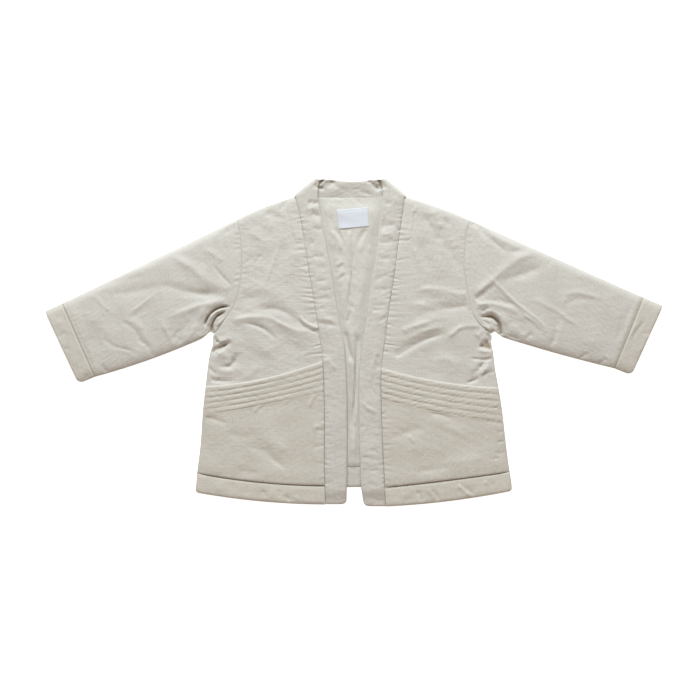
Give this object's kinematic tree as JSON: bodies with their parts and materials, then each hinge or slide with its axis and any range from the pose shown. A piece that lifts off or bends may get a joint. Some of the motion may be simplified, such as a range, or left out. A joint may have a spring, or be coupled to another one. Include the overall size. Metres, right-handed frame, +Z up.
{
  "type": "kimono jacket",
  "caption": "Toddler's padded kimono jacket laid flat: open front with a wide band folded over at the shoulders, long sleeves with cuffs, and patch pockets with quilted borders.",
  "frame": {"origin": "middle of the underside: centre of the jacket's outline, on the surface it lies on", "axes": "+X across the jacket from the sleeve on the viewer's left to the one on the viewer's right, +Y up the jacket to the collar, +Z up from the surface"},
  "size_m": [0.7685, 0.4096, 0.0108],
  "materials": {
    "shell": "matte woven cotton, ecru",
    "lining": "matte woven cotton, ecru, a little lighter",
    "label": "blank woven tape, off-white"
  },
  "bodies": {
    "root": {"back_panel": "shell", "back_lining": "lining", "front_left": "shell", "front_right": "shell", "sleeve_left": "shell", "sleeve_right": "shell", "cuff_left": "shell", "cuff_right": "shell", "collar_band": "shell", "pocket_left": "shell", "pocket_right": "shell", "hem_front_left": "shell", "hem_front_right": "shell", "hem_back": "shell", "label": "label"}
  },
  "joints": []
}
